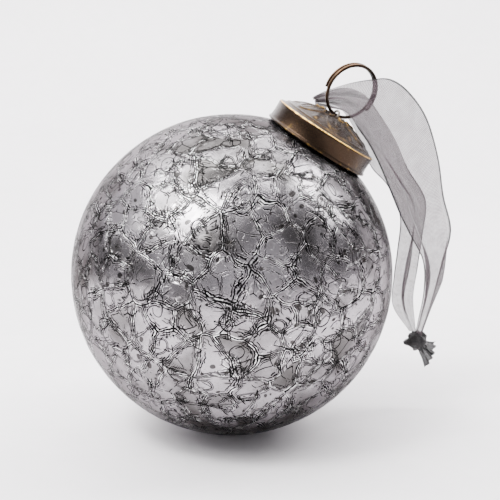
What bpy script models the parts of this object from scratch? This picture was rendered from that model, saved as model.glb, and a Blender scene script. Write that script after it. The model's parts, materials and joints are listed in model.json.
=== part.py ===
"""Glass ball ornament with a stamped brass cap, a spring clip, a split ring and an organza ribbon.

The ball rests on its side. Its lowest point is the world origin, +X is right, +Y is away from
the viewer and +Z is up. The cap's axis leans toward +X.
"""

import math

import bmesh
import bpy
from mathutils import Matrix, Vector

MM = 0.001

# Ball: one blown crackle-glass shell with a short open neck.
BALL_RADIUS = 50 * MM
BALL_WALL = 1.5 * MM
NECK_OUTER_RADIUS = 11.0 * MM
NECK_INNER_RADIUS = 9.0 * MM
NECK_TOP = 55.0 * MM
AXIS_TILT = math.radians(32.5)
BALL_CENTRE = Vector((0.0, 0.0, BALL_RADIUS))

# Cap: heights are measured along the axis from the ball's centre.
CAP_BOTTOM = 47.8 * MM
CAP_SKIRT_TOP = 53.45 * MM
CAP_SKIRT_RADIUS = 16.8 * MM
CAP_BEAD_RADIUS = 0.4 * MM
CAP_SHEET = 0.5 * MM
CAP_DOME_HEIGHT = 5.3 * MM
CAP_EDGE_ROUND = 0.7 * MM
CAP_HOLE_RADIUS = 2.6 * MM

# Clip: one bent spring wire, an eye above the cap and two legs inside the neck.
CLIP_WIRE = 0.7 * MM
CLIP_EYE_HALF_WIDTH = 1.3 * MM
CLIP_EYE_TOP = 60.4 * MM
CLIP_EYE_DEPTH = 3.7 * MM
CLIP_THROAT_SPREAD = 2.1 * MM
CLIP_THROAT = 55.0 * MM
CLIP_SHOULDER_SPREAD = 5.8 * MM
CLIP_SHOULDER = 50.0 * MM
CLIP_LEG_SPREAD = 8.1 * MM
CLIP_LEG_KNEE = 45.0 * MM
CLIP_SHIN_SPREAD = 7.5 * MM
CLIP_SHIN = 39.5 * MM
CLIP_FOOT_SPREAD = 5.0 * MM
CLIP_LEG_FOOT = 33.0 * MM

# Split ring: a coil of 1.6 turns that stands in the clip's eye.
RING_RADIUS = 8.4 * MM
RING_WIRE = 1.05 * MM
RING_TURNS = 1.6
RING_PITCH = 1.25 * MM
RING_BOTTOM = 59.05 * MM
RING_TWIST = math.radians(31.0)

# Ribbon: one sheer strip, looped through the ring and tied in an overhand knot below.
RIBBON_THICKNESS = 0.4 * MM
KNOT_CENTRE = Vector((60.8, 15.2, 24.0)) * MM
KNOT_HALF_SIZE = Vector((3.4, 2.6, 3.7)) * MM
TAIL_WIDTH = 3.2 * MM
TAIL_THICKNESS = 0.8 * MM

LATHE_STEPS = 48
MERGE_DISTANCE = 0.01 * MM
WIRE_SIDES = 2

# The strip's two edges, from the knot up the front strand, through the ring and down behind.
RIBBON_OUTER_EDGE = (
    (61.6, 14.2, 25.5), (63.7, 13.9, 32.9), (65.6, 13.5, 40.1), (68.0, 12.0, 51.2),
    (69.9, 10.0, 62.1), (66.9, 8.5, 73.4), (64.5, 7.0, 86.1), (60.2, 5.0, 98.5),
    (54.1, 2.5, 106.7), (48.0, -0.5, 110.7), (42.0, -1.4, 110.6), (36.2, 1.0, 109.4),
    (30.1, 2.6, 107.4), (24.9, 3.0, 104.8), (26.6, 7.5, 105.3), (34.9, 10.0, 107.3),
    (41.4, 11.5, 104.9), (47.1, 14.0, 97.5), (51.5, 15.5, 91.3), (56.3, 16.3, 81.2),
    (62.5, 17.2, 70.6), (61.8, 17.4, 58.5), (60.6, 17.2, 48.0), (59.4, 17.0, 38.0),
    (60.6, 16.6, 26.5),
)
RIBBON_INNER_EDGE = (
    (59.8, 14.2, 26.0), (60.8, 13.9, 32.0), (62.1, 13.4, 41.0), (61.2, 10.8, 51.8),
    (56.4, 8.0, 61.0), (52.5, 6.2, 68.5), (49.0, 5.2, 76.5), (45.7, 4.8, 84.0),
    (42.2, 3.8, 90.5), (39.0, 1.8, 95.0), (37.1, 0.8, 98.0), (35.0, 2.0, 100.7),
    (31.0, 6.5, 101.9), (27.0, 12.0, 102.4), (29.2, 12.4, 102.3), (33.6, 12.2, 100.9),
    (37.5, 12.6, 96.0), (41.3, 14.0, 88.6), (44.5, 14.8, 81.4), (49.8, 14.4, 75.5),
    (53.9, 14.8, 65.8), (53.5, 15.8, 54.5), (52.7, 16.4, 45.5), (52.6, 16.6, 35.6),
    (58.3, 16.6, 26.7),
)
TAIL_ROUTES = (
    ((61.8, 14.6, 22.2), (63.6, 14.4, 19.4), (65.2, 14.0, 17.0)),
    ((62.2, 16.4, 23.0), (64.8, 17.0, 21.2), (67.0, 17.4, 20.0)),
)

# Colours are linear RGB.
GLASS_COLOUR = (0.52, 0.51, 0.52, 1.0)
BRASS_COLOUR = (0.30, 0.20, 0.11, 1.0)
CLIP_COLOUR = (0.42, 0.38, 0.32, 1.0)
RING_COLOUR = (0.16, 0.11, 0.07, 1.0)
RIBBON_COLOUR = (0.27, 0.26, 0.27, 1.0)


def clear_scene():
    """Removes whatever the file starts with."""
    for thing in list(bpy.data.objects):
        bpy.data.objects.remove(thing, do_unlink=True)


def axis_frame():
    """The cap's axis as a turn about Y, with its origin at the ball's centre."""
    return Matrix.Translation(BALL_CENTRE) @ Matrix.Rotation(AXIS_TILT, 4, "Y")


def twisted_frame():
    """The same axis turned to the plane of the split ring: local X along the ring, Y across it."""
    return axis_frame() @ Matrix.Rotation(RING_TWIST, 4, "Z")


def finish(name, colour, metallic, roughness):
    """A plain Principled material."""
    material = bpy.data.materials.new(name)
    material.use_nodes = True
    shader = material.node_tree.nodes["Principled BSDF"]
    shader.inputs["Base Color"].default_value = colour
    shader.inputs["Metallic"].default_value = metallic
    shader.inputs["Roughness"].default_value = roughness
    material.diffuse_color = colour
    return material


def silvered_glass():
    return finish("silvered_crackle_glass", GLASS_COLOUR, 0.9, 0.12)


def antique_brass():
    return finish("antique_brass", BRASS_COLOUR, 1.0, 0.32)


def spring_wire():
    return finish("spring_steel_wire", CLIP_COLOUR, 1.0, 0.3)


def bronze_wire():
    return finish("bronze_ring_wire", RING_COLOUR, 1.0, 0.3)


def organza():
    return finish("grey_organza", RIBBON_COLOUR, 0.0, 0.75)


def link_mesh(name, builder, collection, material):
    """Adds a bmesh's faces as a named object with smooth shading and one material."""
    mesh = bpy.data.meshes.new(name)
    builder.to_mesh(mesh)
    builder.free()
    mesh.materials.append(material)
    part = bpy.data.objects.new(name, mesh)
    collection.objects.link(part)
    for face in mesh.polygons:
        face.use_smooth = True
    return part


def lathe(name, outline, closed, collection, material):
    """Turns an outline of (radius, height) pairs about the local Z axis."""
    builder = bmesh.new()
    points = [builder.verts.new((radius, 0.0, height)) for radius, height in outline]
    for start, end in zip(points, points[1:]):
        builder.edges.new((start, end))
    if closed:
        builder.edges.new((points[-1], points[0]))
    part = link_mesh(name, builder, collection, material)
    screw = part.modifiers.new("turn", "SCREW")
    screw.steps = LATHE_STEPS
    screw.render_steps = LATHE_STEPS
    screw.use_merge_vertices = True
    screw.merge_threshold = MERGE_DISTANCE
    screw.use_smooth_shade = True
    return part


def arc(radius, start, end, count, centre=(0.0, 0.0)):
    """Points on an arc, as (radius, height) pairs, with angles from the local X axis."""
    points = []
    for step in range(count + 1):
        angle = start + (end - start) * step / count
        points.append((centre[0] + radius * math.cos(angle), centre[1] + radius * math.sin(angle)))
    return points


def shell_half(radius, neck_radius):
    """One wall of the ball, from the neck down to the pole opposite it."""
    top = math.acos(neck_radius / radius)
    points = arc(radius, top, -math.pi / 2, 30)
    points[-1] = (0.0, -radius)
    return points


def make_ball(collection):
    """The inner wall is drawn up to the neck's mouth, then the outer wall down to the pole."""
    inner = shell_half(BALL_RADIUS - BALL_WALL, NECK_INNER_RADIUS)
    outer = shell_half(BALL_RADIUS, NECK_OUTER_RADIUS)
    mouth = [(NECK_INNER_RADIUS, NECK_TOP), (NECK_OUTER_RADIUS, NECK_TOP)]
    outline = inner[::-1] + mouth + outer
    ball = lathe("glass_ball", outline, False, collection, silvered_glass())
    ball.matrix_world = axis_frame()
    return ball


def dome_height(radius):
    """The domed top of the cap, measured along the axis from the ball's centre."""
    return CAP_SKIRT_TOP + CAP_DOME_HEIGHT * (1.0 - (radius / CAP_SKIRT_RADIUS) ** 2)


def cap_outline():
    """The stamped sheet's closed section: dome, rounded edge, skirt, rolled bead, inside."""
    edge_centre = (CAP_SKIRT_RADIUS - CAP_EDGE_ROUND, CAP_SKIRT_TOP)
    dome_edge = CAP_SKIRT_RADIUS - 1.5 * CAP_EDGE_ROUND
    steps = 6
    dome = []
    for step in range(steps + 1):
        radius = CAP_HOLE_RADIUS + (dome_edge - CAP_HOLE_RADIUS) * step / steps
        dome.append((radius, dome_height(radius)))
    edge = arc(CAP_EDGE_ROUND, math.radians(65), 0.0, 4, edge_centre)
    bead_centre = (CAP_SKIRT_RADIUS, CAP_BOTTOM + CAP_BEAD_RADIUS)
    bead = arc(CAP_BEAD_RADIUS, math.radians(70), math.radians(-90), 5, bead_centre)
    inside_radius = CAP_SKIRT_RADIUS - CAP_SHEET
    inside = [(inside_radius, CAP_BOTTOM), (inside_radius, CAP_SKIRT_TOP - CAP_SHEET)]
    under = [(radius, height - CAP_SHEET) for radius, height in dome[::-1]]
    return dome + edge + bead + inside + under


def make_cap(collection):
    cap = lathe("cap_shell", cap_outline(), True, collection, antique_brass())
    cap.matrix_world = axis_frame()
    return cap


def wire(name, points, diameter, collection, material):
    """A round wire through the points, as a closed mesh with filled ends."""
    curve = bpy.data.curves.new(name + "_route", "CURVE")
    curve.dimensions = "3D"
    curve.bevel_depth = diameter / 2
    curve.bevel_resolution = WIRE_SIDES
    curve.use_fill_caps = True
    spline = curve.splines.new("POLY")
    spline.points.add(len(points) - 1)
    for target, point in zip(spline.points, points):
        target.co = (*point, 1.0)
    route = bpy.data.objects.new(name + "_route", curve)
    collection.objects.link(route)
    mesh = bpy.data.meshes.new_from_object(route.evaluated_get(bpy.context.evaluated_depsgraph_get()))
    bpy.data.objects.remove(route, do_unlink=True)
    builder = bmesh.new()
    builder.from_mesh(mesh)
    bmesh.ops.remove_doubles(builder, verts=builder.verts, dist=MERGE_DISTANCE)
    bmesh.ops.recalc_face_normals(builder, faces=builder.faces)
    bpy.data.meshes.remove(mesh)
    return link_mesh(name, builder, collection, material)


def smooth_route(knots, per_span):
    """A Catmull-Rom route through hand-placed points."""
    points = [Vector(knot) for knot in knots]
    ends = [2 * points[0] - points[1]] + points + [2 * points[-1] - points[-2]]
    route = []
    for index in range(1, len(ends) - 2):
        before, start, end, after = ends[index - 1:index + 3]
        for step in range(per_span):
            u = step / per_span
            blend = (end - before) * u + (2 * before - 5 * start + 4 * end - after) * u * u
            blend += (3 * start - before - 3 * end + after) * u ** 3
            route.append(start + 0.5 * blend)
    route.append(points[-1])
    return route


def clip_route():
    """Foot, knee, throat and the eye's arch, then the same again on the other side.

    Local Y is across the split ring, and local Z is the cap's axis.
    """
    arch_base = CLIP_EYE_TOP - CLIP_EYE_HALF_WIDTH
    leg = [
        (0.0, CLIP_FOOT_SPREAD, CLIP_LEG_FOOT),
        (0.0, CLIP_SHIN_SPREAD, CLIP_SHIN),
        (0.0, CLIP_LEG_SPREAD, CLIP_LEG_KNEE),
        (0.0, CLIP_SHOULDER_SPREAD, CLIP_SHOULDER),
        (0.0, CLIP_THROAT_SPREAD, CLIP_THROAT),
        (0.0, CLIP_EYE_HALF_WIDTH, CLIP_EYE_TOP - CLIP_EYE_DEPTH),
    ]
    half = smooth_route(leg, 5)
    arch = []
    for step in range(9):
        angle = math.pi * step / 8
        across = CLIP_EYE_HALF_WIDTH * math.cos(angle)
        arch.append(Vector((0.0, across, arch_base + CLIP_EYE_HALF_WIDTH * math.sin(angle))))
    mirrored = [Vector((0.0, -point.y, point.z)) for point in half[::-1]]
    return half + arch + mirrored


def make_clip(collection):
    clip = wire("spring_clip", clip_route(), CLIP_WIRE, collection, spring_wire())
    clip.matrix_world = twisted_frame()
    return clip


def ring_route():
    """A coil seen from its lowest point, which is the local origin; the coil's axis is Y."""
    steps = 64
    points = []
    for step in range(steps + 1):
        turn = RING_TURNS * (step / steps - 0.5)
        angle = 2 * math.pi * turn
        along = -RING_RADIUS * math.sin(angle)
        points.append(Vector((along, -RING_PITCH * turn, RING_RADIUS * (1.0 - math.cos(angle)))))
    return points


def make_ring(collection):
    """The ring's origin is where it hangs in the eye, so it swings about its local X axis."""
    ring = wire("split_ring", ring_route(), RING_WIRE, collection, bronze_wire())
    ring.matrix_world = twisted_frame() @ Matrix.Translation((0.0, 0.0, RING_BOTTOM))
    return ring


def strip(name, left, right, thickness, collection, material):
    """A strip of cloth between two edges, given thickness."""
    builder = bmesh.new()
    near = [builder.verts.new(point) for point in left]
    middle = [builder.verts.new((a + b) / 2) for a, b in zip(left, right)]
    far = [builder.verts.new(point) for point in right]
    for first, second in ((near, middle), (middle, far)):
        for index in range(len(first) - 1):
            builder.faces.new((first[index], first[index + 1], second[index + 1], second[index]))
    part = link_mesh(name, builder, collection, material)
    thick = part.modifiers.new("cloth", "SOLIDIFY")
    thick.thickness = thickness
    thick.offset = 0.0
    return part


def make_tail(name, route, collection, material):
    """A short end of ribbon that leaves the knot, standing edge-on to the viewer."""
    centre = smooth_route([Vector(point) * MM for point in route], 2)
    half = Vector((0.25, 0.9, 0.35)).normalized() * TAIL_WIDTH / 2
    left = [point - half for point in centre]
    right = [point + half for point in centre]
    return strip(name, left, right, TAIL_THICKNESS, collection, material)


def make_knot(collection, material):
    """The tied lump."""
    builder = bmesh.new()
    bmesh.ops.create_icosphere(builder, subdivisions=3, radius=1.0)
    bmesh.ops.scale(builder, vec=KNOT_HALF_SIZE, verts=builder.verts)
    bmesh.ops.translate(builder, vec=KNOT_CENTRE, verts=builder.verts)
    return link_mesh("ribbon_knot_lump", builder, collection, material)


def make_ribbon(collection, cutters):
    """The loop, its knot and both ends are one strip, so they're joined into one body."""
    cloth = organza()
    outer = smooth_route([Vector(point) * MM for point in RIBBON_OUTER_EDGE], 2)
    inner = smooth_route([Vector(point) * MM for point in RIBBON_INNER_EDGE], 2)
    loop = strip("ribbon", outer, inner, RIBBON_THICKNESS, collection, cloth)
    additions = [make_knot(cutters, cloth)]
    for index, route in enumerate(TAIL_ROUTES):
        additions.append(make_tail(f"ribbon_tail_{index}", route, cutters, cloth))
    for addition in additions:
        addition.hide_render = True
        addition.display_type = "WIRE"
        join = loop.modifiers.new("join_" + addition.name, "BOOLEAN")
        join.operation = "UNION"
        join.solver = "EXACT"
        join.object = addition
    return loop


def main():
    clear_scene()
    collection = bpy.data.collections.new("glass_ball_ornament")
    cutters = bpy.data.collections.new("joining_solids")
    bpy.context.scene.collection.children.link(collection)
    bpy.context.scene.collection.children.link(cutters)
    make_ball(collection)
    make_cap(collection)
    make_clip(collection)
    make_ring(collection)
    make_ribbon(collection, cutters)


main()
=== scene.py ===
import json
import math

import bmesh
import bpy
from mathutils import Matrix, Vector, noise


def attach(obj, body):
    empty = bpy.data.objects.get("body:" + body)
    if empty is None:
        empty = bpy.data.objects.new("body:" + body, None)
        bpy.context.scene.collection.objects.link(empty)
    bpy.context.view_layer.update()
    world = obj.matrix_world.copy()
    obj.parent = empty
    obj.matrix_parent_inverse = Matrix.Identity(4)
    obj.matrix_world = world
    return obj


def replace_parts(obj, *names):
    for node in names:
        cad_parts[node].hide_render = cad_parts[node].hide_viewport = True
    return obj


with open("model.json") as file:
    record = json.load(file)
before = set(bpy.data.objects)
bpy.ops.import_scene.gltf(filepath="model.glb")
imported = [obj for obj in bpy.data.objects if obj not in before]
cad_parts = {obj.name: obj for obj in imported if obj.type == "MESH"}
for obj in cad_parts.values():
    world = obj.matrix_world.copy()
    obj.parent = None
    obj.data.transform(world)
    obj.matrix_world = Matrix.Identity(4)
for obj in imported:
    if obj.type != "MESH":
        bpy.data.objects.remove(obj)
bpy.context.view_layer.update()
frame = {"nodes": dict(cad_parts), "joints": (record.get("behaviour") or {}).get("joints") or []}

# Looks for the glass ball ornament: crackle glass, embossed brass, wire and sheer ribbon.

MM = 0.001
JOINTS = {joint["name"]: joint for joint in frame["joints"]}

# The ball and the frame of its cap, both from the record.
BALL_CENTRE = Vector(JOINTS["clip_turn"]["pos_m"])
BALL_RADIUS = BALL_CENTRE.z
CAP_AXIS = Vector(JOINTS["clip_turn"]["axis"]).normalized()
ALONG_RING = Vector(JOINTS["ring_swing"]["axis"]).normalized()
ACROSS_RING = CAP_AXIS.cross(ALONG_RING).normalized()
CAP_FRAME = Matrix.Translation(BALL_CENTRE) @ Matrix(
    (ALONG_RING, ACROSS_RING, CAP_AXIS)
).transposed().to_4x4()
RING_FOOT = CAP_FRAME.inverted() @ Vector(JOINTS["ring_swing"]["pos_m"])

BALL_WALL = 1.5 * MM
NECK_OUTER_RADIUS = 11.0 * MM
NECK_INNER_RADIUS = 9.0 * MM
NECK_TOP = 55.0 * MM

CAP_BOTTOM = 47.8 * MM
CAP_SKIRT_TOP = 53.45 * MM
CAP_RADIUS = 16.8 * MM
CAP_DOME_HEIGHT = 5.3 * MM
CAP_EDGE_ROUND = 0.7 * MM
CAP_HOLE_RADIUS = 2.6 * MM
CAP_SHEET = 0.5 * MM
CAP_BEAD = 0.45 * MM
# The stamped flower, in millimetres: each shape's middle, half length and half width.
PETALS = 6
PETAL_SHAPE = (8.6, 4.3, 2.7)
BUD_SHAPE = (5.2, 1.7, 1.5)
LEAF_SHAPE = (12.2, 1.5, 1.1)
BORDER_RADIUS = 14.4

DOME_ROWS = 64
OUTER_WALL_ROWS = 170
INNER_WALL_ROWS = 39
NECK_ROWS_LEFT_EVEN = 6
ARC_STEPS = 8
BEAD_STEPS = 10
SKIRT_STEPS = 10
DOME_INSIDE_STEPS = 12
TURN_STEPS = 320

RING_RADIUS = 8.4 * MM
RING_WIRE = 1.05 * MM
RING_TURNS = 1.6
RING_PITCH = 1.25 * MM
RING_STEPS = 220
RING_SIDES = 14

RIBBON_CUT = (0.020, 0.205)
RIBBON_COLUMNS = 70
TAIL_COLUMNS = 28
SELVEDGE_COLUMNS = 2
ROUTE_STEPS = 6
THREAD_PITCH = 0.42 * MM
# The share of the spare width that shows as folds. The rest lies flat against the cloth beside
# it, most of all at the turn behind the ring, whose place and length are shares of the route.
FOLD_SHARE = 0.85
TURN_FOLD_SHARE = 0.35
TURN_PLACE = 0.54
TURN_LENGTH = 0.16

# The crackle pattern's sizes, in millimetres.
LARGE_CELL = 9.5
SMALL_CELL = 6.4
FACET = 2.4
CRAZE_CELL = 2.2
CIRCLE_SPACING = 9.0
SPOT_SPACING = 5.2
RIPPLE_SPREAD = 16.0
RIPPLE_PITCH = 0.8

# The spread from dark to pale is the silvering's own; the slight warm tint of the dark tone and the
# lilac tint of the pale tone are painted reflection.
SILVER_DARK = (0.085, 0.08, 0.079)
SILVER_PALE = (0.375, 0.35, 0.37)
SPECK_COLOUR = (0.08, 0.076, 0.076)
# Painted glint: bright silver beside the cracks, standing in for light caught on the crack faces.
PAINTED_GLINT_COLOUR = (0.9, 0.89, 0.89)
CRACK_COLOUR = (0.0015, 0.0015, 0.0015)
BARE_COLOUR = (0.022, 0.02, 0.019)

# Each metal's darkened and rubbed colours.
BRASS = ((0.028, 0.018, 0.012), (1.0, 0.6, 0.13))
BRONZE = ((0.018, 0.012, 0.009), (0.26, 0.14, 0.065))
STEEL = ((0.16, 0.14, 0.12), (0.75, 0.68, 0.58))

ORGANZA_TINT = (0.096, 0.072, 0.082)
SELVEDGE_TINT = (0.008, 0.007, 0.008)
GATHERED_TINT = (0.014, 0.0125, 0.0135)

LENS = 85
SENSOR = 36
CAMERA_OFFSET = Vector((5.6, -360.2, 84.3)) * MM
CAMERA_TILT = math.radians(78)

# ---------------------------------------------------------------- camera


def add_camera():
    """An 85 mm lens about 0.37 m from the ball, looking 12 degrees down."""
    data = bpy.data.cameras.new("camera")
    data.lens = LENS
    data.sensor_width = SENSOR
    camera = bpy.data.objects.new("camera", data)
    bpy.context.scene.collection.objects.link(camera)
    camera.location = BALL_CENTRE + CAMERA_OFFSET
    camera.rotation_euler = (CAMERA_TILT, 0, 0)
    bpy.context.scene.camera = camera


# ---------------------------------------------------------------- node helpers


class Shader:
    """Short names for building one Principled material."""

    def __init__(self, name):
        self.material = bpy.data.materials.new(name)
        self.material.use_nodes = True
        self.tree = self.material.node_tree
        self.surface = self.tree.nodes["Principled BSDF"]

    def add(self, kind, **settings):
        node = self.tree.nodes.new(kind)
        for key, value in settings.items():
            setattr(node, key, value)
        return node

    def put(self, socket, value):
        if isinstance(value, bpy.types.NodeSocket):
            self.tree.links.new(value, socket)
        else:
            socket.default_value = value

    def set(self, **values):
        """Sets or links inputs of the Principled shader; spaces are written as underscores."""
        for key, value in values.items():
            self.put(self.surface.inputs[key.replace("_", " ")], value)

    def math(self, operation, first, second=0.0, third=0.0):
        node = self.add("ShaderNodeMath", operation=operation)
        for socket, value in zip(node.inputs, (first, second, third)):
            self.put(socket, value)
        return node.outputs[0]

    def vector(self, operation, first, second=(0, 0, 0), scale=None):
        node = self.add("ShaderNodeVectorMath", operation=operation)
        self.put(node.inputs[0], first)
        self.put(node.inputs[1], second)
        if scale is not None:
            self.put(node.inputs["Scale"], scale)
        return node.outputs[0]

    def ramp(self, value, low, high, out_low=0.0, out_high=1.0):
        """Smooth step from low to high."""
        node = self.add("ShaderNodeMapRange", interpolation_type="SMOOTHSTEP")
        for name, number in (("Value", value), ("From Min", low), ("From Max", high)):
            self.put(node.inputs[name], number)
        self.put(node.inputs["To Min"], out_low)
        self.put(node.inputs["To Max"], out_high)
        return node.outputs[0]

    def line(self, value, centre, half_width):
        """1 within half_width of the centre, with soft edges."""
        off = self.math("ABSOLUTE", self.math("SUBTRACT", value, centre))
        return self.ramp(off, half_width * 1.15, half_width * 0.5)

    def noise(self, place, scale, detail=2.0, roughness=0.5):
        node = self.add("ShaderNodeTexNoise")
        self.put(node.inputs["Vector"], place)
        for name, number in (("Scale", scale), ("Detail", detail), ("Roughness", roughness)):
            node.inputs[name].default_value = number
        return node.outputs[0], node.outputs[1]

    def cells(self, place, size, feature="F1"):
        """(distance, random colour, nearest centre) of a flat pattern of cells of that size."""
        node = self.add("ShaderNodeTexVoronoi", feature=feature, voronoi_dimensions="2D")
        self.put(node.inputs["Vector"], place)
        node.inputs["Scale"].default_value = 1 / size
        distance = self.math("MULTIPLY", node.outputs["Distance"], size)
        return distance, node.outputs.get("Color"), node.outputs.get("Position")

    def sphere_map(self, place, turn, radius):
        """Lays a turned cube's six faces on a ball, as flat coordinates of nearly even scale."""
        turned = self.add("ShaderNodeVectorRotate", rotation_type="EULER_XYZ")
        self.put(turned.inputs["Vector"], place)
        turned.inputs["Rotation"].default_value = turn
        axes = self.add("ShaderNodeSeparateXYZ")
        self.put(axes.inputs[0], turned.outputs[0])
        x, y, z = axes.outputs
        size_x, size_y, size_z = (self.math("ABSOLUTE", axis) for axis in (x, y, z))
        above_y = self.math("GREATER_THAN", size_x, size_y)
        above_z = self.math("GREATER_THAN", size_x, size_z)
        x_face = self.math("MULTIPLY", above_y, above_z)
        y_face = self.math("GREATER_THAN", size_y, size_z)
        side = self.choose(y_face, self.join(x, y, z), self.join(z, x, y))
        side = self.choose(x_face, side, self.join(y, z, x))
        parts = self.add("ShaderNodeSeparateXYZ")
        self.put(parts.inputs[0], side)
        face = self.math("MULTIPLY_ADD", x_face, 3.0, y_face)
        front = self.math("SIGN", parts.outputs[2])
        face = self.math("ADD", face, self.math("MULTIPLY", front, 0.4))
        shift = self.math("MULTIPLY", face, 171.0)
        flat = []
        for k in (0, 1):
            ratio = self.math("DIVIDE", parts.outputs[k], parts.outputs[2])
            angle = self.math("ARCTANGENT", ratio)
            flat.append(self.math("MULTIPLY_ADD", angle, radius, shift))
        return self.join(flat[0], flat[1], 0.0)

    def join(self, x, y, z):
        node = self.add("ShaderNodeCombineXYZ")
        for socket, value in zip(node.inputs, (x, y, z)):
            self.put(socket, value)
        return node.outputs[0]

    def choose(self, factor, first, second):
        node = self.add("ShaderNodeMix", data_type="VECTOR")
        self.put(node.inputs[0], factor)
        self.put(node.inputs[4], first)
        self.put(node.inputs[5], second)
        return node.outputs[1]

    def channels(self, colour):
        """The red, green and blue of a colour, as three numbers."""
        node = self.add("ShaderNodeSeparateColor")
        self.put(node.inputs[0], colour)
        return node.outputs[0], node.outputs[1], node.outputs[2]

    def place(self):
        """Position in the row frame, in millimetres from the ball's centre."""
        coordinates = self.add("ShaderNodeTexCoord").outputs["Object"]
        centred = self.vector("SUBTRACT", coordinates, tuple(BALL_CENTRE))
        return self.vector("SCALE", centred, scale=1 / MM)

    def bump(self, height, distance, strength=1.0, normal=None):
        node = self.add("ShaderNodeBump")
        node.inputs["Strength"].default_value = strength
        node.inputs["Distance"].default_value = distance
        self.put(node.inputs["Height"], height)
        if normal is not None:
            self.put(node.inputs["Normal"], normal)
        return node.outputs[0]


def colour_mix(shader, factor, first, second):
    """Mix of two colours, each a socket or an (r, g, b) tuple."""
    node = shader.add("ShaderNodeMix", data_type="RGBA")
    shader.put(node.inputs[0], factor)
    for socket, value in ((node.inputs[6], first), (node.inputs[7], second)):
        if isinstance(value, tuple):
            value = (*value[:3], 1.0)
        shader.put(socket, value)
    return node.outputs[2]


# ---------------------------------------------------------------- materials


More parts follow.
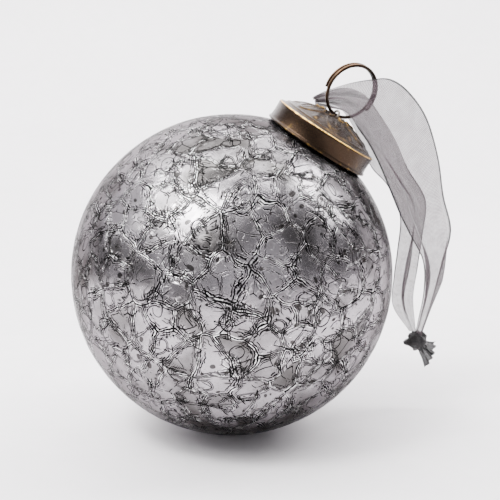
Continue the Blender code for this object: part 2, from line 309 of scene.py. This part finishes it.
def crackle_material():
    """Silvering seen through crackled glass: clear cells edged with bundles of cracks, with painted
    glints beside some cracks.
    """
    s = Shader("silvered_crackle_glass_look")
    place = s.place()

    def warp(base, scale, amount, offset):
        _, field = s.noise(s.vector("ADD", place, offset), scale, 1.0)
        field = s.vector("SUBTRACT", field, (0.5, 0.5, 0.5))
        return s.vector("ADD", base, s.vector("SCALE", field, scale=amount))

    def patch(scale, low, high, offset):
        return s.ramp(s.noise(s.vector("ADD", place, offset), scale, 1.0)[0], low, high)

    def masked(line, mask):
        return s.math("MULTIPLY", line, mask)

    def flat_map(turn, offset):
        """Flat coordinates on the ball, bent broadly and then finely."""
        flat = s.sphere_map(place, turn, BALL_RADIUS / MM)
        return warp(warp(flat, 0.1, 6.0, offset), 0.5, 0.7, offset)

    def moved(flat, across, up):
        return s.vector("ADD", flat, (across, up, 0.0))

    first_map = flat_map((0.5, 0.9, 0.3), (5.0, 0.0, 1.0))
    second_map = flat_map((1.3, 0.2, 1.9), (31.0, 7.0, 2.0))
    wobble = s.math("MULTIPLY_ADD", s.noise(place, 0.9, 1.0)[0], 0.7, -0.35)

    # Large cells: the cracks run beside each other along their edges and break off.
    edge, _, _ = s.cells(first_map, LARGE_CELL, "DISTANCE_TO_EDGE")
    drifting = s.math("ADD", edge, wobble)
    strokes = [
        masked(s.line(edge, 0.0, 0.27), patch(0.25, 0.33, 0.4, (5.0, 0.0, 0.0))),
        masked(s.line(drifting, 0.6, 0.23), patch(0.28, 0.38, 0.43, (0.0, 9.0, 0.0))),
        masked(s.line(drifting, 1.15, 0.2), patch(0.3, 0.45, 0.5, (0.0, 9.0, 4.0))),
        masked(s.line(drifting, 1.7, 0.18), patch(0.3, 0.5, 0.55, (0.0, 2.0, 4.0))),
    ]
    calm = s.ramp(edge, 2.9, 1.9)
    # A painted glint: a thin bright line just inside some of the large cells' edges.
    painted_glint = masked(s.line(edge, 0.33, 0.15), patch(0.6, 0.48, 0.54, (2.0, 0.0, 4.0)))

    # Smaller cracks that cross them.
    crossing, _, _ = s.cells(second_map, SMALL_CELL, "DISTANCE_TO_EDGE")
    crossing_drift = s.math("ADD", crossing, wobble)
    strokes += [
        masked(s.line(crossing, 0.0, 0.22), patch(0.2, 0.5, 0.55, (3.0, 3.0, 9.0))),
        masked(s.line(crossing_drift, 0.55, 0.18), patch(0.2, 0.54, 0.58, (8.0, 1.0, 9.0))),
    ]

    # Bundles of fine ripples.
    centre, _, _ = s.cells(moved(first_map, 17.0, 25.0), RIPPLE_SPREAD)
    phase = s.math("FRACT", s.math("DIVIDE", s.math("ADD", centre, wobble), RIPPLE_PITCH))
    ripple = s.line(phase, 0.5, 0.2)
    ripple = masked(ripple, patch(0.4, 0.46, 0.52, (2.0, 6.0, 1.0)))
    strokes.append(masked(ripple, masked(calm, patch(0.12, 0.52, 0.57, (14.0, 2.0, 6.0)))))

    # A few whole circles, some of them double.
    reach, tint, _ = s.cells(moved(second_map, 6.0, 12.0), CIRCLE_SPACING)
    size, chance, _ = s.channels(tint)
    beyond = s.math("SUBTRACT", reach, s.math("MULTIPLY_ADD", size, 1.4, 1.6))
    strokes += [
        masked(s.line(beyond, 0.0, 0.22), s.math("GREATER_THAN", chance, 0.5)),
        masked(s.line(beyond, 0.5, 0.16), s.math("GREATER_THAN", chance, 0.72)),
    ]

    # Crazing where the cracks crowd together, with painted glints beside some of it.
    crowded = masked(patch(0.1, 0.53, 0.6, (1.0, 30.0, 2.0)), calm)
    craze, _, _ = s.cells(second_map, CRAZE_CELL, "DISTANCE_TO_EDGE")
    strokes.append(masked(s.line(craze, 0.0, 0.16), crowded))
    sparse = masked(crowded, patch(0.9, 0.48, 0.54, (2.0, 7.0, 4.0)))
    painted_glint = s.math("MAXIMUM", painted_glint, masked(s.line(craze, 0.3, 0.13), sparse))
    lines = strokes[0]
    for stroke in strokes[1:]:
        lines = s.math("MAXIMUM", lines, stroke)

    # Round spots where the silvering is missing.
    spots, spot_tint, _ = s.cells(moved(first_map, 3.0, 31.0), SPOT_SPACING)
    _, spot_size, _ = s.channels(spot_tint)
    spot_edge = s.math("SUBTRACT", spots, s.math("MULTIPLY_ADD", spot_size, 1.3, -0.35))
    spot = masked(s.ramp(spot_edge, 0.1, -0.05), patch(0.06, 0.4, 0.5, (7.0, 7.0, 1.0)))

    # The silvering is thicker in some cells than in others. The warm tint of its dark tone and the
    # lilac tint of its pale tone are painted reflection of the surroundings.
    cloud, _ = s.noise(place, 0.06, 3.0)
    grain, _ = s.noise(place, 1.7, 3.0, 0.65)
    _, cell_tint, cell_middle = s.cells(first_map, LARGE_CELL)
    cell_level, _, _ = s.channels(cell_tint)
    silvering = s.math("MULTIPLY_ADD", s.math("SUBTRACT", cell_level, 0.5), 0.2, cloud)
    silver = colour_mix(s, s.ramp(silvering, 0.3, 0.68), SILVER_DARK, SILVER_PALE)
    specks = s.math("MULTIPLY", s.ramp(grain, 0.54, 0.7), 0.35)
    silver = colour_mix(s, specks, silver, SPECK_COLOUR)
    # Painted glints beside the cracks go on first, then the dark cracks themselves.
    colour = colour_mix(s, s.math("MULTIPLY", painted_glint, 0.85), silver, PAINTED_GLINT_COLOUR)
    colour = colour_mix(s, lines, colour, CRACK_COLOUR)
    colour = colour_mix(s, s.math("MULTIPLY", spot, 0.9), colour, BARE_COLOUR)

    # Each cell and each small facet of the crackle leans its own way.
    def leaning(lean, middle):
        slope = s.add("ShaderNodeVectorMath", operation="DOT_PRODUCT")
        s.put(slope.inputs[0], s.vector("SUBTRACT", lean, (0.5, 0.5, 0.5)))
        s.put(slope.inputs[1], s.vector("SUBTRACT", first_map, middle))
        return slope.outputs["Value"]

    _, lean, middle = s.cells(first_map, FACET)
    tilt = s.math("MULTIPLY", leaning(lean, middle), s.math("MULTIPLY_ADD", crowded, 0.25, 0.06))
    tilt = s.math("MULTIPLY_ADD", leaning(cell_tint, cell_middle), 0.08, tilt)
    height = s.math("MULTIPLY_ADD", lines, -0.05, tilt)
    relief = s.bump(height, MM)
    outer = s.bump(s.math("MULTIPLY", lines, -0.015), MM)
    rough = s.math("MULTIPLY_ADD", lines, 0.1, 0.2)
    rough = s.math("ADD", rough, s.math("MULTIPLY", cloud, 0.12))
    s.set(Base_Color=colour, Metallic=1.0, Roughness=rough, Normal=relief)
    s.set(Specular_Tint=(0.3, 0.29, 0.29, 1.0))
    s.set(Coat_Weight=0.1, Coat_Roughness=0.06, Coat_IOR=1.45, Coat_Normal=outer)
    return s.material


def metal_material(name, dark, worn, roughness, blotch=0.5):
    """Darkened metal whose raised edges are rubbed bright, where the wear attribute says so."""
    s = Shader(name)
    place = s.place()
    rubbed = s.add("ShaderNodeAttribute", attribute_name="wear").outputs["Fac"]
    stain, _ = s.noise(place, blotch, 4.0, 0.6)
    fine, _ = s.noise(place, 6.0, 3.0, 0.7)
    amount = s.math("MULTIPLY", rubbed, s.ramp(stain, 0.3, 0.6, 0.55, 1.1))
    amount = s.math("ADD", amount, s.math("MULTIPLY", s.ramp(stain, 0.5, 0.72), 0.16))
    amount = s.math("ADD", amount, s.math("MULTIPLY_ADD", fine, 0.24, -0.12))
    amount = s.ramp(amount, 0.05, 1.0)
    s.set(Base_Color=colour_mix(s, amount, dark, worn), Metallic=1.0)
    s.set(Roughness=s.math("MULTIPLY_ADD", fine, 0.25, roughness))
    s.set(Normal=s.bump(s.math("ADD", fine, stain), 0.04 * MM))
    return s.material


def organza_material(name, opacity, tint):
    """Sheer plain weave: fine threads both ways, seen partly edge-on."""
    s = Shader(name)
    uv = s.add("ShaderNodeUVMap", uv_map="cloth").outputs[0]
    parts = s.add("ShaderNodeSeparateXYZ")
    s.put(parts.inputs[0], uv)
    threads = []
    for axis in (0, 1):
        phase = s.math("MULTIPLY", parts.outputs[axis], math.tau / THREAD_PITCH)
        threads.append(s.math("MULTIPLY_ADD", s.math("SINE", phase), 0.5, 0.5))
    weave = s.math("MAXIMUM", threads[0], threads[1])
    cloud, _ = s.noise(s.place(), 0.35, 2.0)
    alpha = s.math("MULTIPLY_ADD", s.math("SUBTRACT", weave, 0.7), 0.35, opacity)
    alpha = s.math("ADD", alpha, s.math("MULTIPLY_ADD", cloud, 0.16, -0.08))
    shade = colour_mix(s, weave, tuple(0.75 * c for c in tint), tint)
    s.set(Base_Color=shade, Roughness=0.6, Alpha=alpha)
    s.set(Sheen_Weight=0.3, Sheen_Roughness=0.4, Specular_IOR_Level=0.3)
    s.set(Normal=s.bump(weave, 0.03 * MM))
    return s.material


def plain_surface(name, colour, roughness):
    """Painted board with a faint uneven tone, for the floor and the backdrop."""
    s = Shader(name)
    place = s.place()
    broad, _ = s.noise(place, 0.012, 3.0)
    fine, _ = s.noise(place, 0.15, 4.0, 0.6)
    mix = s.math("MULTIPLY_ADD", fine, 0.4, s.math("MULTIPLY", broad, 0.6))
    low = tuple(c * 0.955 for c in colour)
    s.set(Base_Color=colour_mix(s, s.ramp(mix, 0.35, 0.65), low, colour), Roughness=roughness)
    s.set(Normal=s.bump(fine, 0.15 * MM))
    return s.material


# ---------------------------------------------------------------- mesh helpers


def new_piece(name, builder, body, materials):
    mesh = bpy.data.meshes.new(name)
    builder.to_mesh(mesh)
    builder.free()
    for material in materials:
        mesh.materials.append(material)
    for face in mesh.polygons:
        face.use_smooth = True
    piece = bpy.data.objects.new(name, mesh)
    bpy.context.scene.collection.objects.link(piece)
    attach(piece, body)
    return piece


def turned(rows, steps, shape=None, closed=True):
    """Turns rows of (radius, height, wear) about local Z; shape(row, angle) may push a point out.

    A row of radius 0 is a pole. With closed=True the last row joins the first.
    """
    builder = bmesh.new()
    layer = builder.verts.layers.float.new("wear")
    rings = []
    for index, (radius, height, wear) in enumerate(rows):
        count = 1 if radius < 1e-7 else steps
        ring = []
        for step in range(count):
            angle = math.tau * step / steps
            point = Vector((radius * math.cos(angle), radius * math.sin(angle), height))
            extra = 0.0
            if shape:
                point, extra = shape(index, angle, point)
            vert = builder.verts.new(CAP_FRAME @ point)
            vert[layer] = min(1.0, wear + extra)
            ring.append(vert)
        rings.append(ring)
    pairs = list(zip(rings, rings[1:]))
    if closed:
        pairs.append((rings[-1], rings[0]))
    for upper, lower in pairs:
        for step in range(steps):
            after = (step + 1) % steps
            if len(upper) == 1:
                builder.faces.new((upper[0], lower[step], lower[after]))
            elif len(lower) == 1:
                builder.faces.new((upper[step], lower[0], upper[after]))
            else:
                builder.faces.new((upper[step], lower[step], lower[after], upper[after]))
    bmesh.ops.recalc_face_normals(builder, faces=builder.faces)
    return builder


def smooth_route(knots):
    """A Catmull-Rom route through listed points, which are in millimetres."""
    points = [Vector(knot) * MM for knot in knots]
    ends = [2 * points[0] - points[1]] + points + [2 * points[-1] - points[-2]]
    route = []
    for index in range(1, len(ends) - 2):
        before, start, end, after = ends[index - 1:index + 3]
        for step in range(ROUTE_STEPS):
            u = step / ROUTE_STEPS
            blend = (end - before) * u + (2 * before - 5 * start + 4 * end - after) * u * u
            blend += (3 * start - before - 3 * end + after) * u ** 3
            route.append(start + 0.5 * blend)
    route.append(points[-1])
    return route


def tube(points, radius, sides, wear_at):
    """A round wire along the points, with flat ends. wear_at takes the point and the way out."""
    builder = bmesh.new()
    layer = builder.verts.layers.float.new("wear")
    rings = []
    normal = None
    for index, point in enumerate(points):
        ahead = points[min(index + 1, len(points) - 1)]
        behind = points[max(index - 1, 0)]
        tangent = (ahead - behind).normalized()
        if normal is None:
            normal = tangent.orthogonal().normalized()
        normal = (normal - tangent * normal.dot(tangent)).normalized()
        side = tangent.cross(normal)
        ring = []
        for step in range(sides):
            angle = math.tau * step / sides
            offset = normal * math.cos(angle) + side * math.sin(angle)
            vert = builder.verts.new(point + offset * radius)
            vert[layer] = wear_at(point, offset)
            ring.append(vert)
        rings.append(ring)
    for first, second in zip(rings, rings[1:]):
        for step in range(sides):
            after = (step + 1) % sides
            builder.faces.new((first[step], second[step], second[after], first[after]))
    builder.faces.new(rings[0])
    builder.faces.new(rings[-1][::-1])
    bmesh.ops.recalc_face_normals(builder, faces=builder.faces)
    return builder


# ---------------------------------------------------------------- pieces


def make_ball():
    """The blown shell: outer wall, neck, lip and inner wall, with the sag of hand-blown glass."""
    rows = []
    outer_top = math.acos(NECK_OUTER_RADIUS / BALL_RADIUS)
    inner_radius = BALL_RADIUS - BALL_WALL
    inner_top = math.acos(NECK_INNER_RADIUS / inner_radius)
    for step in range(INNER_WALL_ROWS + 1):
        angle = -math.pi / 2 + (inner_top + math.pi / 2) * step / INNER_WALL_ROWS
        rows.append((inner_radius * max(0.0, math.cos(angle)), inner_radius * math.sin(angle), 0.0))
    rows[0] = (0.0, -inner_radius, 0.0)
    lip = (NECK_OUTER_RADIUS - NECK_INNER_RADIUS) / 2
    middle = (NECK_OUTER_RADIUS + NECK_INNER_RADIUS) / 2
    for step in range(ARC_STEPS + 1):
        angle = math.pi - math.pi * step / ARC_STEPS
        rows.append((middle + lip * math.cos(angle), NECK_TOP - lip + lip * math.sin(angle), 0.0))
    first_uneven_row = len(rows) + NECK_ROWS_LEFT_EVEN
    for step in range(OUTER_WALL_ROWS + 1):
        angle = outer_top - (outer_top + math.pi / 2) * step / OUTER_WALL_ROWS
        rows.append((BALL_RADIUS * math.cos(angle), BALL_RADIUS * math.sin(angle), 0.0))
    rows[-1] = (0.0, -BALL_RADIUS, 0.0)

    def wavy(index, angle, point):
        if index < first_uneven_row:
            return point, 0.0
        unit = point / BALL_RADIUS
        swell = noise.noise(unit * 2.2) * 0.10 + noise.noise(unit * 7.0) * 0.05
        swell += noise.noise(unit * 22.0) * 0.02
        return point * (1.0 + (swell - 0.1) * MM / BALL_RADIUS), 0.0

    builder = turned(rows, TURN_STEPS, wavy, closed=False)
    ball = new_piece("glass_shell", builder, "ball", [crackle_material()])
    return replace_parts(ball, "glass_ball")


def emboss(radius, angle):
    """Height of the stamped flower on the dome, in millimetres, at a radius in millimetres."""
    sector = math.tau / PETALS

    def reach(off, shape):
        """0 at the shape's middle and 1 on its outline."""
        middle, half_length, half_width = shape
        return math.hypot(off * radius / half_width, (radius - middle) / half_length)

    def ridge(distance, width):
        return math.exp(-(distance / width) ** 2)

    off = (angle + sector / 2) % sector - sector / 2
    petal = reach(off, PETAL_SHAPE)
    inside_petal = max(0.0, 1 - petal * petal)
    height = 0.42 * ridge(petal - 1.0, 0.11) + 0.34 * inside_petal
    height -= 0.26 * ridge(off * radius, 0.35) * inside_petal
    between = (angle + sector) % sector - sector / 2
    height += 0.38 * ridge(reach(between, BUD_SHAPE) - 1.0, 0.22)
    leaf = reach(between, LEAF_SHAPE)
    height += 0.4 * max(0.0, 1 - leaf * leaf)
    height += 0.25 * ridge(radius - BORDER_RADIUS, 0.3)
    return height


def make_cap():
    """The stamped cap: embossed dome, polished edge, skirt with a rolled bead, and its inside."""
    rows = []
    dome_edge = CAP_RADIUS - 1.5 * CAP_EDGE_ROUND

    def dome(radius):
        return CAP_SKIRT_TOP + CAP_DOME_HEIGHT * (1 - (radius / CAP_RADIUS) ** 2)

    for step in range(DOME_ROWS + 1):
        radius = CAP_HOLE_RADIUS + (dome_edge - CAP_HOLE_RADIUS) * step / DOME_ROWS
        rows.append((radius, dome(radius), 0.05))
    dome_rows = len(rows)
    edge_centre = (CAP_RADIUS - CAP_EDGE_ROUND, CAP_SKIRT_TOP)
    for step in range(ARC_STEPS + 1):
        angle = math.radians(68) * (1 - step / ARC_STEPS)
        radius = edge_centre[0] + CAP_EDGE_ROUND * math.cos(angle)
        height = edge_centre[1] + CAP_EDGE_ROUND * math.sin(angle)
        rows.append((radius, height, max(0.0, 1.0 - 0.28 * abs(step - 3))))
    skirt_bottom = CAP_BOTTOM + 2 * CAP_BEAD
    for step in range(1, SKIRT_STEPS):
        share = step / SKIRT_STEPS
        radius = CAP_RADIUS - 0.12 * MM * math.sin(math.pi * share)
        rows.append((radius, CAP_SKIRT_TOP + (skirt_bottom - CAP_SKIRT_TOP) * share, 0.0))
    bead_centre = (CAP_RADIUS - 0.1 * MM, CAP_BOTTOM + CAP_BEAD)
    for step in range(BEAD_STEPS + 1):
        angle = math.radians(75) - math.radians(165) * step / BEAD_STEPS
        radius = bead_centre[0] + CAP_BEAD * math.cos(angle)
        height = bead_centre[1] + CAP_BEAD * math.sin(angle)
        rows.append((radius, height, 0.08 if 2 < step < 7 else 0.0))
    inside = CAP_RADIUS - CAP_SHEET
    rows.append((inside, CAP_BOTTOM, 0.0))
    rows.append((inside, CAP_SKIRT_TOP - CAP_SHEET, 0.0))
    for step in range(DOME_INSIDE_STEPS + 1):
        radius = dome_edge + (CAP_HOLE_RADIUS - dome_edge) * step / DOME_INSIDE_STEPS
        rows.append((radius, dome(radius) - CAP_SHEET, 0.0))

    def stamped(index, angle, point):
        if index >= dome_rows or index == 0:
            return point, 0.0
        radius = math.hypot(point.x, point.y)
        fade = min(1.0, (dome_edge - radius) / (0.6 * MM))
        height = emboss(radius / MM, angle) * fade
        return point + Vector((0, 0, height * MM)), max(0.0, height - 0.36) * 0.75

    builder = turned(rows, TURN_STEPS, stamped)
    brass = metal_material("antique_brass_look", *BRASS, roughness=0.14)
    cap = new_piece("stamped_cap", builder, "cap", [brass])
    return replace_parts(cap, "cap_shell")


def make_ring():
    """The split ring: a close coil of 1.6 turns with squarely cut ends."""
    points = []
    for step in range(RING_STEPS + 1):
        turn = RING_TURNS * (step / RING_STEPS - 0.5)
        angle = math.tau * turn
        local = Vector((
            -RING_RADIUS * math.sin(angle),
            -RING_PITCH * turn,
            RING_RADIUS * (1 - math.cos(angle)),
        ))
        points.append(CAP_FRAME @ (RING_FOOT + local))
    hub = CAP_FRAME @ (RING_FOOT + Vector((0, 0, RING_RADIUS)))

    def rubbed(point, offset):
        outward = (point - hub).normalized()
        return max(0.0, offset.dot(outward)) ** 4 * 0.55

    builder = tube(points, RING_WIRE / 2, RING_SIDES, rubbed)
    bronze = metal_material("bronzed_wire_look", *BRONZE, roughness=0.18, blotch=0.25)
    ring = new_piece("split_ring_wire", builder, "ring", [bronze])
    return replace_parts(ring, "split_ring")


def make_clip():
    """The CAD wire keeps its shape and takes an aged steel finish."""
    steel = metal_material("clip_wire_look", *STEEL, roughness=0.22, blotch=0.6)
    clip = frame["nodes"]["spring_clip"]
    for slot in clip.material_slots:
        slot.material = steel


# The ribbon's two edges in millimetres, from the knot up the front strand, through the ring,
# round the turn at the left and down behind.
OUTER_EDGE = (
    (61.6, 14.2, 25.5), (63.7, 13.9, 32.9), (65.6, 13.5, 40.1), (68.0, 12.0, 51.2),
    (69.9, 10.0, 62.1), (66.9, 8.5, 73.4), (64.5, 7.0, 86.1), (60.2, 5.0, 98.5),
    (54.1, 2.5, 106.7), (48.0, -0.5, 110.7), (42.0, -1.4, 110.6), (36.2, 1.0, 109.4),
    (30.1, 2.6, 107.4), (24.9, 3.0, 104.8), (26.6, 7.5, 105.3), (34.9, 10.0, 107.3),
    (41.4, 11.5, 104.9), (47.1, 14.0, 97.5), (51.5, 15.5, 91.3), (56.3, 16.3, 81.2),
    (62.5, 17.2, 70.6), (61.8, 17.4, 58.5), (60.6, 17.2, 48.0), (59.4, 17.0, 38.0),
    (60.6, 16.6, 26.5),
)
INNER_EDGE = (
    (59.8, 14.2, 26.0), (60.8, 13.9, 32.0), (62.1, 13.4, 41.0), (61.2, 10.8, 51.8),
    (56.4, 8.0, 61.0), (52.5, 6.2, 68.5), (49.0, 5.2, 76.5), (45.7, 4.8, 84.0),
    (42.2, 3.8, 90.5), (39.0, 1.8, 95.0), (37.1, 0.8, 98.0), (35.0, 2.0, 100.7),
    (31.0, 6.5, 101.9), (27.0, 12.0, 102.4), (29.2, 12.4, 102.3), (33.6, 12.2, 100.9),
    (37.5, 12.6, 96.0), (41.3, 14.0, 88.6), (44.5, 14.8, 81.4), (49.8, 14.4, 75.5),
    (53.9, 14.8, 65.8), (53.5, 15.8, 54.5), (52.7, 16.4, 45.5), (52.6, 16.6, 35.6),
    (58.3, 16.6, 26.7),
)

KNOT_CENTRE = Vector((60.8, 15.2, 24.0)) * MM
KNOT_RADII = (3.5, 2.6, 3.5)

# The two cut ends, from the knot outward, and the way each one spreads.
TAILS = {
    "a": ((61.4, 14.6, 22.8), (62.6, 14.3, 20.8), (63.9, 14.1, 18.9), (65.0, 14.0, 17.2)),
    "b": ((62.2, 16.0, 23.2), (63.8, 16.4, 22.0), (65.4, 16.8, 20.9), (66.8, 17.2, 20.1)),
}
TAIL_SPREADS = {"a": (0.55, 0.5, 0.6), "b": (0.3, 0.5, 0.9)}
TAIL_WIDTH = 12 * MM


def folded_section(shape, width, chord):
    """A cross-section of that arc length whose ends are the chord apart, as (across, out) pairs.

    shape gives the cloth's slope along its width; the slope is scaled until the ends fit.
    """
    def trace(scale):
        across, out = 0.0, 0.0
        points = [(across, out)]
        for index in range(len(shape) - 1):
            slope = scale * (shape[index] + shape[index + 1]) / 2
            across += math.cos(slope) * width / (len(shape) - 1)
            out += math.sin(slope) * width / (len(shape) - 1)
            points.append((across, out))
        return points, math.hypot(across, out)

    low, high = 0.0, 2.2
    for _ in range(16):
        middle = (low + high) / 2
        if trace(middle)[1] > chord:
            low = middle
        else:
            high = middle
    points, reach = trace(low)
    end_across, end_out = points[-1]
    cos_turn, sin_turn = end_across / reach, end_out / reach
    size = chord / reach
    return [
        ((x * cos_turn + z * sin_turn) * size, (z * cos_turn - x * sin_turn) * min(1.0, size))
        for x, z in points
    ]


def cloth_strip(left, right, count, slope, width):
    """A strip of cloth between two edges, gathered into folds that keep most of its width.

    slope(along, across) is the folds' shape. The outermost columns on each side are the selvedge.
    """
    builder = bmesh.new()
    uv_layer = builder.loops.layers.uv.new("cloth")
    rows = []
    stations = [0.0]
    for index, (near, far) in enumerate(zip(left, right)):
        if index:
            step = (near + far - left[index - 1] - right[index - 1]) / 2
            stations.append(stations[-1] + step.length)
        along = index / (len(left) - 1)
        shape = [slope(along, k / count) for k in range(count + 1)]
        chord = far - near
        turn = math.exp(-((along - TURN_PLACE) / TURN_LENGTH) ** 2)
        fold_share = FOLD_SHARE + (TURN_FOLD_SHARE - FOLD_SHARE) * turn
        cut = chord.length + fold_share * (width - chord.length)
        section = folded_section(shape, cut, min(chord.length, 0.995 * cut))
        ahead = min(index + 1, len(left) - 1)
        behind = max(index - 1, 0)
        forward = (left[ahead] + right[ahead] - left[behind] - right[behind]).normalized()
        out = chord.cross(forward).normalized()
        ease = chord.length / section[-1][0]
        middle = sum(height for _, height in section) / len(section)
        row = []
        for k, (across, height) in enumerate(section):
            share = k / count
            tether = min(1.0, 5 * share, 5 * (1 - share))
            place = near + chord.normalized() * across * ease + out * (height - middle * tether)
            row.append(builder.verts.new(place))
        rows.append(row)
    for index in range(len(rows) - 1):
        for column in range(count):
            after = (index + 1, column + 1)
            corners = ((index, column), (index + 1, column), after, (index, column + 1))
            face = builder.faces.new([rows[row][place] for row, place in corners])
            for loop, (row, place) in zip(face.loops, corners):
                loop[uv_layer].uv = (place / count * width, stations[row])
            if min(column, count - 1 - column) < SELVEDGE_COLUMNS:
                face.material_index = 1
    return builder


def gather(along, across):
    """Long soft folds that run the length of the ribbon and wander from side to side."""
    drift = 0.1 * math.sin(along * 9.0) + 0.07 * math.sin(along * 23.0 + 1.0)
    wave = math.cos(math.tau * (3.0 * across + drift) + 0.7)
    wave += 0.45 * math.cos(math.tau * (1.3 * across - drift) + 2.1 + 5.0 * along)
    return wave * (0.75 + 0.25 * math.sin(across * 9.0 + along * 11.0))


def make_ribbon():
    """The looped strip, its knot and its two cut ends, all on the ribbon body."""
    sheer = organza_material("grey_organza_look", 0.73, ORGANZA_TINT)
    edge = organza_material("organza_selvedge_look", 1.0, SELVEDGE_TINT)
    dense = organza_material("gathered_organza_look", 0.99, GATHERED_TINT)
    left = smooth_route(OUTER_EDGE)
    right = smooth_route(INNER_EDGE)
    strip = cloth_strip(left, right, RIBBON_COLUMNS, gather, RIBBON_CUT[0])
    loop = new_piece("ribbon_loop", strip, "ribbon", [sheer, edge])
    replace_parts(loop, "ribbon")
    knot = make_knot(dense)
    tails = [make_tail(f"ribbon_tail_{side}", side, dense, edge) for side in ("a", "b")]


def make_knot(material):
    """An overhand knot: a tight creased lump, ridged by its wraps, with a folded ear."""
    builder = bmesh.new()
    bmesh.ops.create_icosphere(builder, subdivisions=4, radius=1.0)
    uv_layer = builder.loops.layers.uv.new("cloth")
    for vert in builder.verts:
        unit = vert.co.normalized()
        crease = abs(noise.noise(unit * 2.1 + Vector((3.0, 1.0, 7.0))))
        wraps = math.sin((unit.z * 1.3 + unit.x * 1.7) * 7.0 + noise.noise(unit * 1.5) * 3)
        size = 1.0 - 0.35 * crease + 0.07 * wraps
        ear = max(0.0, -unit.x - 0.2) * max(0.0, 0.4 - abs(unit.z + 0.25)) * 1.4
        size += ear
        reach = Vector([way * radius for way, radius in zip(unit, KNOT_RADII)])
        vert.co = KNOT_CENTRE + reach * MM * size
    for face in builder.faces:
        for loop in face.loops:
            loop[uv_layer].uv = (loop.vert.co.x, loop.vert.co.z)
    return new_piece("ribbon_knot", builder, "ribbon", [material])


def make_tail(name, side, material, edge):
    """A short cut end that fans out of the knot in two or three folds."""
    centre = smooth_route(TAILS[side])
    left, right = [], []
    for index, point in enumerate(centre):
        share = index / (len(centre) - 1)
        half = Vector(TAIL_SPREADS[side]).normalized() * (0.8 + 2.2 * share) * MM
        left.append(point - half)
        right.append(point + half)

    def folds(along, across):
        return math.cos(across * math.pi * 5 + 0.5)

    builder = cloth_strip(left, right, TAIL_COLUMNS, folds, TAIL_WIDTH)
    return new_piece(name, builder, "ribbon", [material, edge])


# ---------------------------------------------------------------- floor and light


FLOOR_FRONT = -2.0
FLOOR_BACK = 0.35
FLOOR_HALF_WIDTH = 1.5
FLOOR_DROP = 0.05 * MM
BEND_RADIUS = 0.35
BEND_STEPS = 16
WALL_TOP = 1.6


def make_stage():
    """A pale floor that curves up into a pale backdrop."""
    builder = bmesh.new()
    outline = [(FLOOR_FRONT, 0.0), (FLOOR_BACK, 0.0)]
    for step in range(1, BEND_STEPS + 1):
        angle = math.pi / 2 * step / BEND_STEPS
        back = FLOOR_BACK + BEND_RADIUS * math.sin(angle)
        outline.append((back, BEND_RADIUS * (1 - math.cos(angle))))
    outline.append((FLOOR_BACK + BEND_RADIUS, WALL_TOP))
    rows = []
    for y, z in outline:
        sides = (-FLOOR_HALF_WIDTH, FLOOR_HALF_WIDTH)
        rows.append([builder.verts.new((x, y, z - FLOOR_DROP)) for x in sides])
    for lower, upper in zip(rows, rows[1:]):
        builder.faces.new((lower[0], lower[1], upper[1], upper[0]))
    mesh = bpy.data.meshes.new("floor")
    builder.to_mesh(mesh)
    builder.free()
    mesh.materials.append(plain_surface("pale_board", (0.86, 0.835, 0.85), 0.75))
    for face in mesh.polygons:
        face.use_smooth = True
    floor = bpy.data.objects.new("floor", mesh)
    bpy.context.scene.collection.objects.link(floor)


# The room's brightness by height, from the horizon to overhead.
SKY_BANDS = ((0.0, 0.6), (0.18, 0.6), (0.3, 1.05), (0.52, 0.9), (0.66, 0.28), (0.8, 0.7))
SKY_TINT = (0.96, 0.95, 1.0)

# Direction from the ball, distance, width, height (metres) and power (watts) of each soft box.
SOFT_BOXES = {
    "key_window": ((-0.44, -0.38, 0.815), 0.9, 0.8, 0.55, 15),
    "key_core": ((-0.40, -0.40, 0.825), 0.85, 0.22, 0.16, 7),
    "right_window": ((0.741, 0.162, 0.6515), 1.0, 0.4, 0.5, 6),
    "back_wash": ((-0.1, 0.45, 0.9), 1.0, 1.2, 0.5, 8),
    "wall_wash": ((0.0, 0.1, 1.0), 0.75, 1.6, 0.3, 24),
}
WALL_WASH_AIM = Vector((0, 1, -0.75))


def soft_box(name, direction, distance, width, height, power):
    """An area light that faces the ball from that direction."""
    data = bpy.data.lights.new(name, "AREA")
    data.shape = "RECTANGLE"
    data.size = width
    data.size_y = height
    data.energy = power
    lamp = bpy.data.objects.new(name, data)
    direction = Vector(direction).normalized()
    lamp.location = BALL_CENTRE + direction * distance
    lamp.rotation_mode = "QUATERNION"
    lamp.rotation_quaternion = (-direction).to_track_quat("-Z", "Y")
    bpy.context.scene.collection.objects.link(lamp)
    return lamp


def make_lights():
    """A room darker at the right, a window up to the left, one at the right, and a lit wall."""
    world = bpy.data.worlds.new("studio")
    bpy.context.scene.world = world
    world.use_nodes = True
    nodes, links = world.node_tree.nodes, world.node_tree.links
    sky = nodes["Background"]
    sky.inputs["Strength"].default_value = 1.0
    parts = nodes.new("ShaderNodeSeparateXYZ")
    links.new(nodes.new("ShaderNodeTexCoord").outputs["Generated"], parts.inputs[0])
    bands = nodes.new("ShaderNodeValToRGB")
    links.new(parts.outputs["Z"], bands.inputs["Fac"])
    while len(bands.color_ramp.elements) < len(SKY_BANDS):
        bands.color_ramp.elements.new(0.5)
    for element, (height, level) in zip(bands.color_ramp.elements, SKY_BANDS):
        element.position = height
        element.color = (*(level * tint for tint in SKY_TINT), 1.0)
    side = nodes.new("ShaderNodeMapRange")
    links.new(parts.outputs["X"], side.inputs["Value"])
    for name, number in (("From Min", 0.2), ("From Max", 0.75), ("To Min", 1.0), ("To Max", 0.4)):
        side.inputs[name].default_value = number
    shade = nodes.new("ShaderNodeVectorMath")
    shade.operation = "SCALE"
    links.new(bands.outputs["Color"], shade.inputs[0])
    links.new(side.outputs[0], shade.inputs["Scale"])
    links.new(shade.outputs[0], sky.inputs["Color"])
    lamps = {name: soft_box(name, *settings) for name, settings in SOFT_BOXES.items()}
    lamps["wall_wash"].rotation_quaternion = WALL_WASH_AIM.to_track_quat("-Z", "Y")


add_camera()
make_ball()
make_cap()
make_ring()
make_clip()
make_ribbon()
make_stage()
make_lights()
